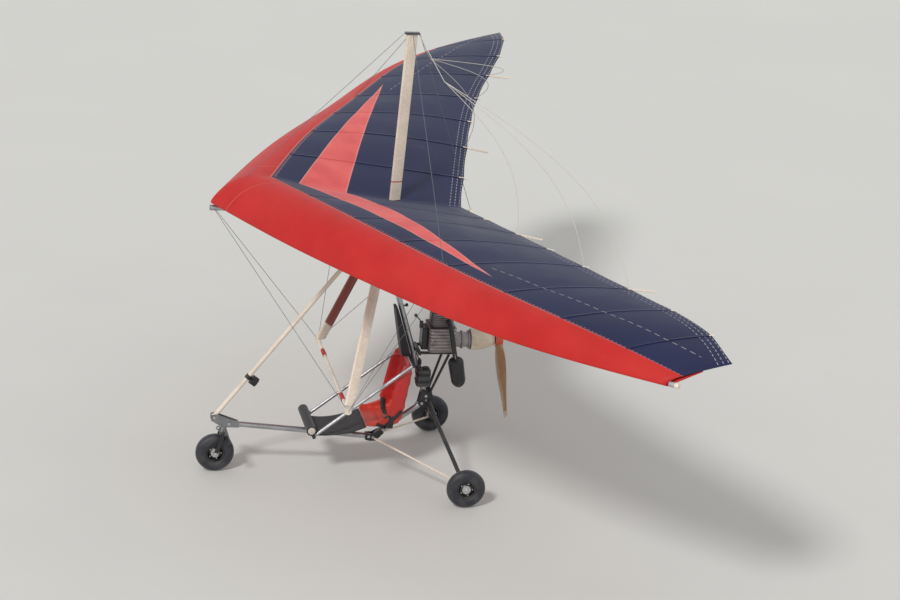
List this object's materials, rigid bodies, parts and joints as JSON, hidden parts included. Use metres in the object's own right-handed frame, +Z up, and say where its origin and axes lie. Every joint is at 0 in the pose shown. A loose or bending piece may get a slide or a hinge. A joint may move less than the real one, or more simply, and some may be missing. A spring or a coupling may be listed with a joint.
{
  "type": "flex-wing microlight trike",
  "caption": "Single-seat weight-shift microlight: a fabric delta wing with kingpost and control frame over an open tube trike with seat, engine and pusher propeller.",
  "frame": {"origin": "on the ground, in the centre plane, at the middle of the overall length", "axes": "+Z up, -Y towards the nose, +X to port"},
  "size_m": [8.16, 3.2, 3.768],
  "materials": {
    "sail_red": "woven polyester sailcloth, matt",
    "sail_navy": "woven polyester sailcloth, matt",
    "tube_cream": "painted alloy tube",
    "tube_silver": "anodised alloy tube",
    "black_metal": "black painted alloy",
    "alloy_plate": "plain alloy plate",
    "wheel_rim": "black painted rim with a pale hub",
    "tyre": "smooth balloon tyre",
    "seat_red": "coated red fabric",
    "pad_black": "black padded fabric",
    "instrument_black": "moulded case",
    "tank_plastic": "blow moulded",
    "engine_grey": "cast alloy, weathered",
    "silencer_black": "heat resistant black paint",
    "housing_cream": "glass-fibre moulding",
    "propeller_wood": "varnished laminated wood",
    "wire": "stranded stainless wire"
  },
  "bodies": {
    "root": {"steering_head": "alloy_plate", "nose_plates": "alloy_plate", "front_strut": "tube_cream", "base_tube": "tube_silver", "base_plates": "black_metal", "rear_tube": "tube_silver", "mast": "tube_silver", "mast_foot": "black_metal", "mast_head": "alloy_plate", "gear_legs": "black_metal", "drag_struts": "tube_cream", "seat_cross_tubes": "black_metal", "seat_side_tubes": "tube_silver", "seat_roll": "pad_black", "seat_sling": "pad_black", "seat_bucket": "seat_red", "back_pad": "pad_black", "instrument": "instrument_black", "fuel_tank": "tank_plastic", "engine_bearers": "black_metal", "engine_struts": "black_metal", "crankcase": "engine_grey", "cylinder": "engine_grey", "intake_box": "black_metal", "drive_case": "engine_grey", "shaft_housing": "housing_cream", "silencer": "silencer_black", "exhaust_pipe": "silencer_black"},
    "nose_fork": {"nose_fork": "black_metal"},
    "nose_wheel": {"nose_rim": "wheel_rim", "nose_tyre": "tyre"},
    "rear_left_wheel": {"rear_left_rim": "wheel_rim", "rear_left_tyre": "tyre"},
    "rear_right_wheel": {"rear_right_rim": "wheel_rim", "rear_right_tyre": "tyre"},
    "propeller": {"propeller": "propeller_wood"},
    "hang_block": {"hang_block": "alloy_plate"},
    "wing": {"keel_tube": "tube_silver", "hang_bracket": "alloy_plate", "apex_plates": "alloy_plate", "uprights": "tube_cream", "base_bar": "tube_cream", "kingpost": "tube_cream", "leading_edge": "sail_red", "sail": "sail_navy", "keel_pocket": "sail_navy", "tip_tubes": "tube_silver", "lower_stays": "wire", "upper_stays": "wire"}
  },
  "joints": [
    {"name": "steering", "type": "hinge", "parent": "root", "child": "nose_fork", "pos_m": [0, -1.37525, 0.37861], "axis": [0, 0.284, 0.9588], "range_deg": [-30, 30]},
    {"name": "nose_wheel_spin", "type": "hinge", "parent": "nose_fork", "child": "nose_wheel", "pos_m": [0, -1.44, 0.16], "axis": [1, 0, 0], "continuous": true},
    {"name": "rear_left_wheel_spin", "type": "hinge", "parent": "root", "child": "rear_left_wheel", "pos_m": [0.78, 0.51, 0.16], "axis": [1, 0, 0], "continuous": true},
    {"name": "rear_right_wheel_spin", "type": "hinge", "parent": "root", "child": "rear_right_wheel", "pos_m": [-0.78, 0.51, 0.16], "axis": [1, 0, 0], "continuous": true},
    {"name": "propeller_spin", "type": "hinge", "parent": "root", "child": "propeller", "pos_m": [0, 0.862, 1.15], "axis": [0, 1, 0], "continuous": true},
    {"name": "wing_roll", "type": "hinge", "parent": "root", "child": "hang_block", "pos_m": [0, -0.198, 2.15], "axis": [0, 1, 0], "range_deg": [-14, 14]},
    {"name": "wing_pitch", "type": "hinge", "parent": "hang_block", "child": "wing", "pos_m": [0, -0.198, 2.205], "axis": [1, 0, 0], "range_deg": [-20, 8]}
  ]
}
